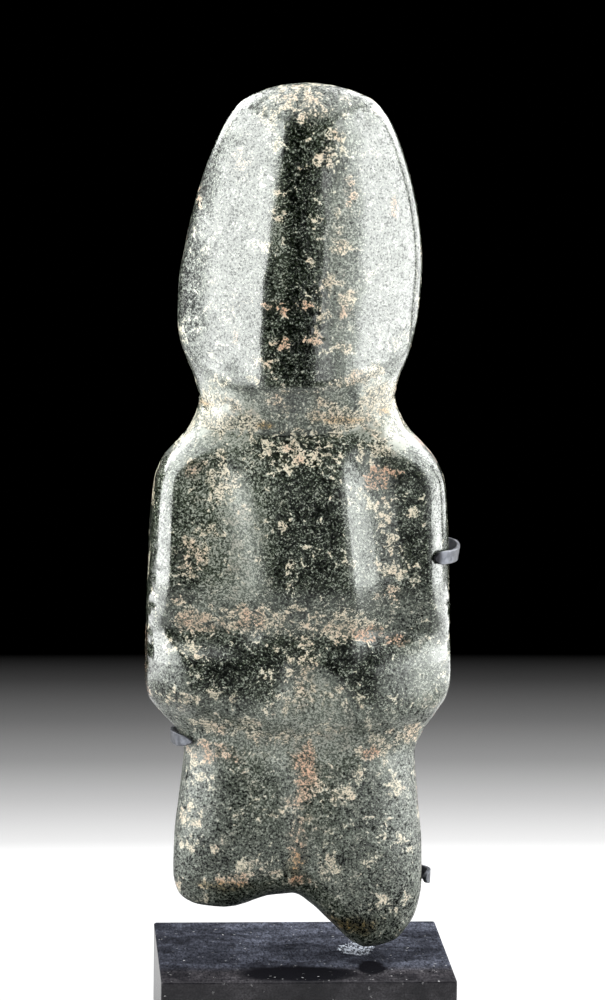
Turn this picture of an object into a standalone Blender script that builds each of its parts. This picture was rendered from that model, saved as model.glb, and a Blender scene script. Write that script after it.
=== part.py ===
"""Stone axe god: a figure in polished greenstone, worked from an axe blank and held by three steel
hooks on a post over a black block. Metres, +Z up. The figure faces -Y, and the origin is the
middle of the block's underside."""

import math

import bmesh
import bpy
import numpy as np

MM = 0.001
COLLECTION = "stone_axe_god"

# The display block, a 3.5 by 3 by 1 inch piece.
BASE_WIDTH = 88.9 * MM
BASE_DEPTH = 76.2 * MM
BASE_HEIGHT = 25.4 * MM
BASE_EDGE = 0.8 * MM
EDGE_STEPS = 3

# The holder behind the figure: a round post in a socket of the block, and hooks of flat strip.
TOUCH_GAP = 0.3 * MM
POST_X = 24.0 * MM
POST_RADIUS = 3.2 * MM
POST_TOP = 131.0 * MM
POST_SIDES = 32
SOCKET_DEPTH = 14.0 * MM
STRIP_HEIGHT = 4.0 * MM
STRIP_THICKNESS = 1.2 * MM
STRIP_STAND_OFF = 2.0 * MM
STRIP_EDGE = 0.2 * MM
STRIP_STEPS = 44
STRIP_END = 0.2
STRIP_LEAN = math.tan(math.radians(18))

# Each hook: its name, its height in millimetres above the block, the angles round the stone where
# the strip meets it behind and ends in front (0 is the right side and 90 the back), the side that
# it goes round, and the length in millimetres over which its end narrows. The strips lean: clear
# of the stone, the top edge of each stands further out than its foot.
HOOKS = (
    ("torso_hook", 125.2, 60, -41, 1, 2.0),
    ("waist_hook", 67.8, 100, 212, -1, 6.0),
    ("foot_hook", 23.7, 50, -9, 1, 3.0),
)

# The stone stands with its middle plane a little in front of the block's. From here to the end of
# the relief, the stone's sizes are in millimetres, and heights are above the block's top.
FIGURE_Y = -3.0 * MM
CROWN = 266.4
BLADE = 17.3

# The outline from the front: height, left edge, right edge. It runs from the worn poll down the
# faceless head, in at the neck, out over the arms, in at the waist and down to the blade.
OUTLINE = (
    (CROWN, -1.4, -1.4),
    (264.1, -14.3, 12.5),
    (261.1, -20.4, 18.8),
    (255.2, -25.1, 23.6),
    (243.2, -30.6, 28.6),
    (231.3, -34.4, 31.8),
    (219.2, -37.2, 33.6),
    (207.2, -39.2, 33.8),
    (198.0, -39.5, 33.0),
    (189.1, -38.7, 31.1),
    (183.0, -36.5, 29.3),
    (177.0, -34.1, 27.0),
    (171.5, -32.9, 26.4),
    (165.0, -34.7, 28.9),
    (161.8, -36.5, 31.2),
    (158.8, -39.1, 34.1),
    (152.7, -43.9, 39.1),
    (146.5, -46.2, 41.4),
    (134.0, -47.5, 42.4),
    (119.0, -48.1, 43.0),
    (100.0, -48.6, 43.6),
    (87.5, -48.7, 43.9),
    (81.5, -48.0, 43.0),
    (75.8, -44.0, 40.0),
    (69.6, -38.6, 35.9),
    (63.4, -36.8, 33.6),
    (50.0, -38.2, 34.7),
    (38.0, -39.6, 36.1),
    (28.0, -39.9, 36.3),
    (22.3, -38.4, 35.1),
    (19.2, -34.4, 31.8),
    (BLADE, -1.4, -1.4),
)

# How far the front stands out of the middle plane along the centre line: height, depth.
FRONT = (
    (CROWN, 0.0),
    (263.0, 8.6),
    (257.0, 13.4),
    (247.0, 17.0),
    (232.0, 19.3),
    (210.0, 20.4),
    (190.0, 20.8),
    (179.0, 20.8),
    (176.6, 20.5),
    (175.2, 19.4),
    (165.0, 15.1),
    (161.6, 14.2),
    (156.0, 16.6),
    (147.0, 19.8),
    (134.0, 21.8),
    (118.0, 22.0),
    (110.0, 20.8),
    (101.0, 18.8),
    (96.0, 19.5),
    (88.5, 21.6),
    (81.0, 21.4),
    (76.5, 20.2),
    (67.0, 15.6),
    (62.0, 14.6),
    (54.0, 15.8),
    (42.0, 16.8),
    (30.0, 15.6),
    (22.0, 12.2),
    (19.2, 9.0),
    (BLADE, 0.0),
)

# The plainer back: height, depth.
BACK = (
    (CROWN, 0.0),
    (263.0, 8.8),
    (257.0, 13.4),
    (246.0, 16.6),
    (230.0, 18.8),
    (208.0, 19.6),
    (188.0, 18.8),
    (172.0, 16.2),
    (158.0, 17.8),
    (140.0, 20.4),
    (115.0, 21.0),
    (88.0, 19.8),
    (72.0, 16.8),
    (62.0, 15.8),
    (48.0, 16.2),
    (34.0, 14.8),
    (24.0, 12.0),
    (19.2, 8.4),
    (BLADE, 0.0),
)

# How far the blade's lower edge comes down from the blank's, across the width: a short worn foot
# on the left, a shallow crotch, and a longer foot on the right. It fades out up the legs.
FOOT_DROP = (
    (-40.0, 2.6),
    (-25.0, 2.8),
    (-9.0, -1.6),
    (-3.5, -2.0),
    (2.1, 1.2),
    (8.3, 7.0),
    (15.6, 13.9),
    (19.0, 15.4),
    (27.3, 14.2),
    (31.4, 11.2),
    (34.2, 8.5),
    (37.0, 5.4),
)
FOOT_FADE = (17.0, 58.0)

# Cross-sections are rounded polygons inside a unit square: each face's tilt from the side, in
# degrees, and its distance from the middle. The back has the same faces as the front.
HEAD_LEFT = ((90.0, 1.0), (42.0, 0.867), (22.0, 0.910))
HEAD_RIGHT = ((90.0, 1.0), (64.0, 0.967), (40.6, 0.901), (16.0, 0.964))
HEAD_SHARPNESS = 22
BODY_FACES = ((90.0, 1.0), (31.5, 1.139), (0.0, 1.0))
BODY_SHARPNESS = 22
ROUND_POWER = 2.5
HEAD_FROM = (166, 176)
BODY_REACH = (70, 84, 150, 162)

# The head's facets narrow only above this height. Below it they run straight to the chin.
TRIM_FROM = 200.0

# The chin and the neck's crease rise towards the sides, and so does the waist: how far, how late
# on each side, and the heights between which they do.
CHIN_RISE = 11.5
CHIN_CURL = (4.8, 2.2)
CHIN_REACH = (146, 163, 190, 222)
WAIST_RISE = 12.0
WAIST_CURL = (1.3, 2.8)
WAIST_REACH = (38, 62, 80, 108)

# The chest stands between two flat arm panels. Its edges lean: each runs from its place at the
# shoulders to its place above the hands, and a flank slopes from it down to the panel.
SHOULDERS = 160.0
HANDS = 112.0
CHEST_LEFT = (-20.0, -11.0)
CHEST_RIGHT = (8.0, 13.0)
FLANK_LEFT = math.tan(math.radians(34))
FLANK_RIGHT = math.tan(math.radians(34))
EDGE_LEFT = 5.0
EDGE_RIGHT = 1.2
PANEL_CUT = 5.4
PANEL_ROUNDING = 6.5
PANEL_REACH = (90, 104, 146, 168)
PANEL_SEAM = 0.8

# The right hand's outer half slopes away to the elbow.
ELBOW_X = 20.0
ELBOW_DEPTH = 21.6
ELBOW_SLOPE = math.tan(math.radians(25))
ELBOW_ROUNDING = 5.0
ELBOW_REACH = (64, 80, 96, 116)
UNCUT = 8.0

# The belly shows as an arched hollow between and below the hands.
NOTCH_TOP = 96.5
NOTCH_OPENING = 19.0
NOTCH_HALF_WIDTH = 11.5
NOTCH_DEPTH = 2.5
NOTCH_EDGE = (-4.5, 3.5)
NOTCH_MIDDLE = (2.0, -0.5)
NOTCH_LEAN = (80, 95)
NOTCH_REACH = (56, 70, 86, 97)

# A shallow groove parts the legs.
GROOVE_X = -1.0
GROOVE_WIDTH = 5.0
GROOVE_DEPTH = 1.3
GROOVE_REACH = (14, 24, 52, 64)

# Relief is full where the surface looks forward and fades out round the sides.
FACING = (0.1, 0.6)

# The blank's cells across, through and up, and the height of the round caps at its two ends.
CELLS = (18, 10, 54)
CROWN_CAP = 8.5
BLADE_CAP = 6.0


def monotone_curve(points):
    """A smooth curve through the points that never overshoots between two of them."""
    table = np.array(sorted(points), dtype=float)
    x, y = table[:, 0], table[:, 1]
    step = np.diff(x)
    slope = np.diff(y) / step
    before, after = slope[:-1], slope[1:]
    turning = before * after <= 0
    first = np.where(turning, 1.0, before)
    second = np.where(turning, 1.0, after)
    heavy = 2 * step[1:] + step[:-1]
    light = step[1:] + 2 * step[:-1]
    inner = np.where(turning, 0.0, (heavy + light) / (heavy / first + light / second))
    tangent = np.concatenate([slope[:1], inner, slope[-1:]])

    def curve(at):
        at = np.clip(at, x[0], x[-1])
        i = np.clip(np.searchsorted(x, at, side="right") - 1, 0, len(step) - 1)
        t = (at - x[i]) / step[i]
        leaving = (1 + 2 * t) * (1 - t) ** 2 * y[i] + t * (1 - t) ** 2 * step[i] * tangent[i]
        arriving = t * t * (3 - 2 * t) * y[i + 1] + t * t * (t - 1) * step[i] * tangent[i + 1]
        return leaving + arriving

    return curve


def root_curve(points):
    """A curve through the points whose square is smooth, so that it closes round at a zero."""
    square = monotone_curve([(at, value * value) for at, value in points])
    return lambda at: np.sqrt(np.maximum(square(at), 0.0))


def smooth_step(low, high, value):
    t = np.clip((value - low) / (high - low), 0.0, 1.0)
    return t * t * (3 - 2 * t)


def window(rise_from, rise_to, fall_from, fall_to, value):
    return smooth_step(rise_from, rise_to, value) * (1 - smooth_step(fall_from, fall_to, value))


def soft_min(first, second, radius):
    """The lower of two, with the corner between them rounded."""
    share = np.clip(0.5 + 0.5 * (second - first) / radius, 0.0, 1.0)
    return second * (1 - share) + first * share - radius * share * (1 - share)


def polygon_section(left_faces, right_faces, sharpness):
    """Half-width and half-depth of a rounded polygon at each angle, reaching just 1 along each."""
    turned = {(side * tilt % 360, reach) for tilt, reach in right_faces for side in (1, -1)}
    turned |= {((180 + side * tilt) % 360, reach) for tilt, reach in left_faces for side in (1, -1)}
    turns = sorted((math.radians(tilt), reach) for tilt, reach in turned)

    def radius(angle):
        total = 0
        for tilt, reach in turns:
            total = total + (np.clip(np.cos(angle - tilt), 0, 1) / reach) ** sharpness
        return total ** (-1 / sharpness)

    sweep = np.linspace(0, 2 * math.pi, 721)
    across = radius(sweep) * np.cos(sweep)
    deepest = (radius(sweep) * np.sin(sweep)).max()

    def section(angle):
        reach = radius(angle)
        side = reach * np.cos(angle)
        side = np.where(side > 0, side / across.max(), -side / across.min())
        return side, reach * np.sin(angle) / deepest

    return section


def round_section(angle):
    across, out = np.cos(angle), np.sin(angle)
    reach = (np.abs(across) ** ROUND_POWER + np.abs(out) ** ROUND_POWER) ** (-1 / ROUND_POWER)
    return reach * across, reach * out


spine = monotone_curve([(height, (left + right) / 2) for height, left, right in OUTLINE])
half_width = root_curve([(height, (right - left) / 2) for height, left, right in OUTLINE])
front_depth = root_curve(FRONT)
back_depth = root_curve(BACK)
foot_drop = monotone_curve(FOOT_DROP)
head_section = polygon_section(HEAD_LEFT, HEAD_RIGHT, HEAD_SHARPNESS)
body_section = polygon_section(BODY_FACES, BODY_FACES, BODY_SHARPNESS)


def read_height(height, across):
    """The height at which the front's profile is read, for each place across the width."""
    reach = np.abs(across)
    chin = CHIN_RISE * reach ** np.where(across < 0, *CHIN_CURL)
    waist = WAIST_RISE * reach ** np.where(across < 0, *WAIST_CURL)
    chin = chin * window(*CHIN_REACH, height)
    return height - chin - waist * window(*WAIST_REACH, height)


def mixed_section(angle, height, read):
    """Half-width and half-depth, each up to 1, of the section at each height."""
    head = smooth_step(*HEAD_FROM, read)
    body = window(*BODY_REACH, height)
    shapes = (head_section(angle), body_section(angle), round_section(angle))
    shares = (head, body, 1 - head - body)
    side = sum(share * shape[0] for share, shape in zip(shares, shapes))
    out = sum(share * shape[1] for share, shape in zip(shares, shapes))
    return side, out


def trimmed_width(side, height, read):
    """How far out the section reaches. The head's flat facets run straight down to the chin, and
    the outline trims their sides."""
    outline = half_width(height)
    facets = half_width(np.maximum(height, TRIM_FROM))
    reach = np.abs(side)
    trimmed = soft_min(facets * reach, outline, np.maximum(facets - outline, 0.01))
    head = smooth_step(*HEAD_FROM, read)
    return np.sign(side) * (head * trimmed + (1 - head) * outline * reach)


def lean(ends, height):
    share = np.clip((SHOULDERS - height) / (SHOULDERS - HANDS), 0, 1)
    return ends[0] + (ends[1] - ends[0]) * share


def ramp_from(edge, rounding):
    """Nothing short of an edge and rising evenly beyond it, with the corner rounded."""
    return -soft_min(-edge, 0.0, rounding)


def arm_panels(x, height, front):
    """The depth that the stone is cut down to beside the chest."""
    left = FLANK_LEFT * ramp_from(lean(CHEST_LEFT, height) - x, EDGE_LEFT)
    right = FLANK_RIGHT * ramp_from(x - lean(CHEST_RIGHT, height), EDGE_RIGHT)
    cut = soft_min(np.maximum(left, right), PANEL_CUT, PANEL_ROUNDING)
    return front - cut * window(*PANEL_REACH, height)


def right_elbow(x, height):
    """The depth that the stone is cut down to over the right elbow."""
    sloped = ELBOW_DEPTH - ELBOW_SLOPE * np.maximum(x - ELBOW_X, 0)
    return sloped + UNCUT * (1 - window(*ELBOW_REACH, height))


def belly_notch(x, height):
    """The depth taken out of the belly between and below the hands."""
    low, high = NOTCH_MIDDLE
    middle = low + (high - low) * smooth_step(*NOTCH_LEAN, height)
    half = NOTCH_HALF_WIDTH * np.sqrt(np.clip((NOTCH_TOP - height) / NOTCH_OPENING, 0, 1))
    inside = 1 - smooth_step(*NOTCH_EDGE, np.abs(x - middle) - half)
    return NOTCH_DEPTH * inside * window(*NOTCH_REACH, height)


def leg_groove(x, height):
    across = np.exp(-(((x - GROOVE_X) / GROOVE_WIDTH) ** 2))
    return GROOVE_DEPTH * across * window(*GROOVE_REACH, height)


def stone_surface(angle, height):
    """The stone's surface in each direction round it, at each height of the blank."""
    read = read_height(height, np.cos(angle))
    side, out = mixed_section(angle, height, read)
    x = spine(height) + trimmed_width(side, height, read)
    front = front_depth(read)
    carved = soft_min(-front * out, arm_panels(x, height, front), PANEL_SEAM)
    carved = soft_min(carved, right_elbow(x, height), ELBOW_ROUNDING)
    relief = belly_notch(x, height) + leg_groove(x, height)
    carved = carved - smooth_step(*FACING, -out) * relief
    y = np.where(out < 0, -carved, back_depth(height) * out)
    z = height - foot_drop(x) * (1 - smooth_step(*FOOT_FADE, height))
    return x, y, z


def block_grid(cells):
    """A two-unit cube whose faces are cut into cells."""
    grid = bmesh.new()
    bmesh.ops.create_cube(grid, size=2)
    for axis, count in enumerate(cells):
        along = [edge for edge in grid.edges
                 if abs(edge.verts[0].co[axis] - edge.verts[1].co[axis]) > MM]
        bmesh.ops.subdivide_edges(grid, edges=along, cuts=count - 1, use_grid_fill=True)
    return grid


def wrap_block(points):
    """The angle and the height on the stone for each point of the cube. The cube's rows become
    level sections, and its top and bottom faces become the round caps."""
    bx, by, bz = points.T
    ring = np.maximum(np.abs(bx), np.abs(by))
    by_ring = by / np.maximum(ring, MM)
    bx_ring = bx / np.maximum(ring, MM)
    eighth = math.pi / 4
    facing = by_ring * (2 * eighth - bx_ring * eighth)
    sideways = np.where(bx > 0, by_ring * eighth, math.pi - by_ring * eighth)
    angle = np.where(np.abs(by) >= np.abs(bx), facing, sideways)
    top = CROWN - CROWN_CAP * ring ** 2
    bottom = BLADE + BLADE_CAP * ring ** 2
    share = (bz + 1) / 2
    rows = BLADE + BLADE_CAP + (CROWN - CROWN_CAP - BLADE - BLADE_CAP) * share
    height = np.where(bz > 1 - MM, top, np.where(bz < MM - 1, bottom, rows))
    return angle, height


def in_metres(x, y, z):
    return np.stack([x * MM, y * MM + FIGURE_Y, z * MM + BASE_HEIGHT], axis=1)


def clear_scene():
    for thing in list(bpy.data.objects):
        bpy.data.objects.remove(thing, do_unlink=True)


def finish(name, color, roughness, metallic):
    material = bpy.data.materials.new(name)
    material.use_nodes = True
    shader = material.node_tree.nodes["Principled BSDF"]
    shader.inputs["Base Color"].default_value = (*color, 1)
    shader.inputs["Roughness"].default_value = roughness
    shader.inputs["Metallic"].default_value = metallic
    return material


def add_object(name, grid, material, collection):
    mesh = bpy.data.meshes.new(name)
    grid.to_mesh(mesh)
    grid.free()
    mesh.materials.append(material)
    thing = bpy.data.objects.new(name, mesh)
    collection.objects.link(thing)
    return thing


def stone_figure(collection, cells=CELLS):
    grid = block_grid(cells)
    points = np.array([vertex.co for vertex in grid.verts])
    placed = in_metres(*stone_surface(*wrap_block(points)))
    for vertex, place in zip(grid.verts, placed):
        vertex.co = place
    bmesh.ops.recalc_face_normals(grid, faces=grid.faces)
    green = finish("speckled_greenstone", (0.05, 0.08, 0.065), 0.3, 0.0)
    stone = add_object("stone_figure", grid, green, collection)
    stone.data.shade_smooth()
    return stone


def post_y():
    """The post stands just clear of the hooks, which pass between it and the widest of the back."""
    back = FIGURE_Y + max(depth for height, depth in BACK) * MM
    return back + TOUCH_GAP + STRIP_THICKNESS + TOUCH_GAP + POST_RADIUS


def round_bar(radius, low, high):
    """An upright cylinder on the post's axis, between two heights above the block's top."""
    grid = bmesh.new()
    bmesh.ops.create_cone(grid, segments=POST_SIDES, radius1=radius, radius2=radius,
                          depth=high - low, cap_ends=True)
    middle = (POST_X, post_y(), BASE_HEIGHT + (low + high) / 2)
    bmesh.ops.translate(grid, verts=grid.verts, vec=middle)
    return grid


def base_block(collection, cutters):
    grid = bmesh.new()
    bmesh.ops.create_cube(grid, size=1)
    bmesh.ops.scale(grid, verts=grid.verts, vec=(BASE_WIDTH, BASE_DEPTH, BASE_HEIGHT))
    bmesh.ops.translate(grid, verts=grid.verts, vec=(0, 0, BASE_HEIGHT / 2))
    black = finish("satin_black", (0.012, 0.012, 0.015), 0.35, 0.0)
    block = add_object("base_block", grid, black, collection)
    eased = block.modifiers.new("eased_edges", "BEVEL")
    eased.width = BASE_EDGE
    eased.segments = EDGE_STEPS

    hole = round_bar(POST_RADIUS + TOUCH_GAP, -SOCKET_DEPTH, SOCKET_DEPTH)
    socket = add_object("post_socket", hole, black, cutters)
    socket.hide_render = True
    socket.display_type = "WIRE"
    cut = block.modifiers.new("post_socket", "BOOLEAN")
    cut.object = socket
    cut.solver = "EXACT"


def support_post(collection, steel):
    grid = round_bar(POST_RADIUS, TOUCH_GAP - SOCKET_DEPTH, POST_TOP)
    post = add_object("support_post", grid, steel, collection)
    post.data.shade_smooth()
    post.data.set_sharp_from_angle(angle=math.radians(40))


def level_outline(level, angles):
    """The stone's outline in plan at one height above the block, in metres."""
    height = np.full_like(angles, level)
    for _ in range(30):
        height = height + level - stone_surface(angles, height)[2]
    return in_metres(*stone_surface(angles, height))[:, :2]


def even_steps(path, count):
    """The same path in plan, with points at equal steps along it."""
    steps = np.linalg.norm(np.diff(path, axis=0), axis=1)
    length = np.concatenate([[0], np.cumsum(steps)])
    at = np.linspace(0, length[-1], count)
    return np.stack([np.interp(at, length, path[:, 0]), np.interp(at, length, path[:, 1])], axis=1)


def hook_path(level, start, end, side):
    """The strip's middle line in plan: along the post's front, round the stone and on to it."""
    outline = level_outline(level, np.radians(np.linspace(start, end, 160)))
    along = np.gradient(outline, axis=0)
    outward = np.stack([-along[:, 1], along[:, 0]], axis=1) * side
    outward /= np.linalg.norm(outward, axis=1)[:, None]
    share = np.linspace(0, 1, len(outline))[:, None]
    bow = STRIP_STAND_OFF * np.sin(math.pi * share) ** 0.7
    round_stone = outline + outward * (TOUCH_GAP + STRIP_THICKNESS / 2 + bow)
    contact = post_y() - POST_RADIUS - TOUCH_GAP - STRIP_THICKNESS / 2
    on_post = [[POST_X - side * POST_RADIUS, contact], [POST_X + side * POST_RADIUS, contact]]
    path = even_steps(np.concatenate([on_post, round_stone]), 200)
    for _ in range(60):
        path[1:-1] += (path[:-2] + path[2:] - 2 * path[1:-1]) / 4
    return even_steps(path, STRIP_STEPS + 1)


def hook(name, level, start, end, side, tip, collection, steel):
    """A strip on edge, bent round the stone at one height."""
    path = hook_path(level, start, end, side)
    along = np.gradient(path, axis=0)
    outward = np.stack([-along[:, 1], along[:, 0]], axis=1) * side
    outward /= np.linalg.norm(outward, axis=1)[:, None]
    lean_out = STRIP_LEAN * np.sin(math.pi * np.linspace(0, 1, STRIP_STEPS + 1)) ** 2
    to_end = np.linalg.norm(path - path[-1], axis=1)
    narrow = STRIP_END + (1 - STRIP_END) * np.sqrt(np.clip(to_end / (tip * MM), 0, 1))
    grid = bmesh.new()
    bmesh.ops.create_grid(grid, x_segments=STRIP_STEPS, y_segments=2, size=1)
    for vertex in grid.verts:
        step = round((vertex.co.x + 1) / 2 * STRIP_STEPS)
        rise = vertex.co.y * narrow[step] * STRIP_HEIGHT / 2
        place = path[step] + outward[step] * lean_out[step] * rise
        vertex.co = (*place, BASE_HEIGHT + level * MM + rise)
    strip = add_object(name, grid, steel, collection)
    wall = strip.modifiers.new("strip_thickness", "SOLIDIFY")
    wall.thickness = STRIP_THICKNESS
    wall.offset = 0
    broken = strip.modifiers.new("broken_edges", "BEVEL")
    broken.width = STRIP_EDGE
    broken.segments = 1


def main():
    clear_scene()
    collection = bpy.data.collections.new(COLLECTION)
    cutters = bpy.data.collections.new("cutters")
    for group in (collection, cutters):
        bpy.context.scene.collection.children.link(group)
    stone_figure(collection)
    base_block(collection, cutters)
    steel = finish("dark_steel", (0.09, 0.09, 0.1), 0.35, 0.9)
    support_post(collection, steel)
    for shape in HOOKS:
        hook(*shape, collection, steel)


if __name__ == "__main__":
    main()
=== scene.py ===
"""The looks of the stone axe god: a figure in polished, speckled greenstone, held by three dark
steel hooks on a post over a satin black block. Metres, +Z up, and the figure faces -Y."""

import math

import bmesh
import bpy
import numpy as np
from mathutils import Matrix, Vector, noise


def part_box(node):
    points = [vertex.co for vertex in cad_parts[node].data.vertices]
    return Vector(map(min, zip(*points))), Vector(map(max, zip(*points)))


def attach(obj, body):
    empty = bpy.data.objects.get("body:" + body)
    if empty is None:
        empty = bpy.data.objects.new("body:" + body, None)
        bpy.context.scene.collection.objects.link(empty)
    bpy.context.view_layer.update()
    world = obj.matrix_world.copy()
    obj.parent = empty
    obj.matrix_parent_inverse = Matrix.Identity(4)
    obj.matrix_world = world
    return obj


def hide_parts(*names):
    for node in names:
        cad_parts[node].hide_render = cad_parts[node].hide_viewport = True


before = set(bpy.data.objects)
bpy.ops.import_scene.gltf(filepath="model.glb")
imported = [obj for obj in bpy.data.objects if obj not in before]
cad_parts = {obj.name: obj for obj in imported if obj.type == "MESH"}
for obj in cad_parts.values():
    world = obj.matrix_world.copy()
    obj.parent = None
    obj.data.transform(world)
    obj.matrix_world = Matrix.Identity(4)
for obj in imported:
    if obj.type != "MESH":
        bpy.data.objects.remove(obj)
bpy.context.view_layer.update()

MM = 0.001
BLOCK_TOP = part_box("base_block")[1].z

# ---- The stone's form, as the solid has it. Millimetres, with heights above the block's top. ----

FIGURE_Y = -3.0 * MM
CROWN = 266.4
BLADE = 17.3

# The outline from the front: height, left edge, right edge.
OUTLINE = (
    (CROWN, -1.4, -1.4),
    (264.1, -14.3, 12.5),
    (261.1, -20.4, 18.8),
    (255.2, -25.1, 23.6),
    (243.2, -30.6, 28.6),
    (231.3, -34.4, 31.8),
    (219.2, -37.2, 33.6),
    (207.2, -39.2, 33.8),
    (198.0, -39.5, 33.0),
    (189.1, -38.7, 31.1),
    (183.0, -36.5, 29.3),
    (177.0, -34.1, 27.0),
    (171.5, -32.9, 26.4),
    (165.0, -34.7, 28.9),
    (161.8, -36.5, 31.2),
    (158.8, -39.1, 34.1),
    (152.7, -43.9, 39.1),
    (146.5, -46.2, 41.4),
    (134.0, -47.5, 42.4),
    (119.0, -48.1, 43.0),
    (100.0, -48.6, 43.6),
    (87.5, -48.7, 43.9),
    (81.5, -48.0, 43.0),
    (75.8, -44.0, 40.0),
    (69.6, -38.6, 35.9),
    (63.4, -36.8, 33.6),
    (50.0, -38.2, 34.7),
    (38.0, -39.6, 36.1),
    (28.0, -39.9, 36.3),
    (22.3, -38.4, 35.1),
    (19.2, -34.4, 31.8),
    (BLADE, -1.4, -1.4),
)

# How far the front stands out of the middle plane along the centre line: height, depth.
FRONT = (
    (CROWN, 0.0),
    (263.0, 8.6),
    (257.0, 13.4),
    (247.0, 17.0),
    (232.0, 19.3),
    (210.0, 20.4),
    (190.0, 20.8),
    (179.0, 20.8),
    (176.6, 20.5),
    (175.2, 19.4),
    (165.0, 15.1),
    (161.6, 14.2),
    (156.0, 16.6),
    (147.0, 19.8),
    (134.0, 21.8),
    (118.0, 22.0),
    (110.0, 20.8),
    (101.0, 18.8),
    (96.0, 19.5),
    (88.5, 21.6),
    (81.0, 21.4),
    (76.5, 20.2),
    (67.0, 15.6),
    (62.0, 14.6),
    (54.0, 15.8),
    (42.0, 16.8),
    (30.0, 15.6),
    (22.0, 12.2),
    (19.2, 9.0),
    (BLADE, 0.0),
)

# The plainer back: height, depth.
BACK = (
    (CROWN, 0.0),
    (263.0, 8.8),
    (257.0, 13.4),
    (246.0, 16.6),
    (230.0, 18.8),
    (208.0, 19.6),
    (188.0, 18.8),
    (172.0, 16.2),
    (158.0, 17.8),
    (140.0, 20.4),
    (115.0, 21.0),
    (88.0, 19.8),
    (72.0, 16.8),
    (62.0, 15.8),
    (48.0, 16.2),
    (34.0, 14.8),
    (24.0, 12.0),
    (19.2, 8.4),
    (BLADE, 0.0),
)

# How far the blade's lower edge comes down from the blank's, across the width.
FOOT_DROP = (
    (-40.0, 2.6),
    (-25.0, 2.8),
    (-9.0, -1.6),
    (-3.5, -2.0),
    (2.1, 1.2),
    (8.3, 7.0),
    (15.6, 13.9),
    (19.0, 15.4),
    (27.3, 14.2),
    (31.4, 11.2),
    (34.2, 8.5),
    (37.0, 5.4),
)
FOOT_FADE = (17.0, 58.0)

# Cross-sections: each face's tilt from the side, in degrees, and its distance from the middle.
HEAD_LEFT = ((90.0, 1.0), (42.0, 0.867), (22.0, 0.910))
HEAD_RIGHT = ((90.0, 1.0), (64.0, 0.967), (40.6, 0.901), (16.0, 0.964))
HEAD_SHARPNESS = 22
BODY_FACES = ((90.0, 1.0), (31.5, 1.139), (0.0, 1.0))
BODY_SHARPNESS = 22
ROUND_POWER = 2.5
HEAD_FROM = (166, 176)
BODY_REACH = (70, 84, 150, 162)
TRIM_FROM = 200.0

# How far the chin and the waist rise towards the sides, how late, and between which heights.
CHIN_RISE = 11.5
CHIN_CURL = (4.8, 2.2)
CHIN_REACH = (146, 163, 190, 222)
WAIST_RISE = 12.0
WAIST_CURL = (1.3, 2.8)
WAIST_REACH = (38, 62, 80, 108)

# The chest, its leaning edges and flanks, and the arm panels beside it.
SHOULDERS = 160.0
HANDS = 112.0
CHEST_LEFT = (-20.0, -11.0)
CHEST_RIGHT = (8.0, 13.0)
FLANK_LEFT = math.tan(math.radians(34))
FLANK_RIGHT = math.tan(math.radians(34))
EDGE_LEFT = 5.0
EDGE_RIGHT = 1.2
PANEL_CUT = 5.4
PANEL_ROUNDING = 6.5
PANEL_REACH = (90, 104, 146, 168)
PANEL_SEAM = 0.8

# The right elbow, the belly's arched hollow and the groove between the legs.
ELBOW_X = 20.0
ELBOW_DEPTH = 21.6
ELBOW_SLOPE = math.tan(math.radians(25))
ELBOW_ROUNDING = 5.0
ELBOW_REACH = (64, 80, 96, 116)
UNCUT = 8.0
NOTCH_TOP = 96.5
NOTCH_OPENING = 19.0
NOTCH_HALF_WIDTH = 11.5
NOTCH_DEPTH = 2.5
NOTCH_EDGE = (-4.5, 3.5)
NOTCH_MIDDLE = (2.0, -0.5)
NOTCH_LEAN = (80, 95)
NOTCH_REACH = (56, 70, 86, 97)
GROOVE_X = -1.0
GROOVE_WIDTH = 5.0
GROOVE_DEPTH = 1.3
GROOVE_REACH = (14, 24, 52, 64)
FACING = (0.1, 0.6)
NECK_CREASE = 161.6

CROWN_CAP = 8.5
BLADE_CAP = 6.0
STONE_CELLS = (90, 40, 296)

# ---- Where earth lies on the front, in millimetres: its place across and up, half its width and
# half its height there, how much of it covers the stone, and how much of that is stained red. ----

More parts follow.
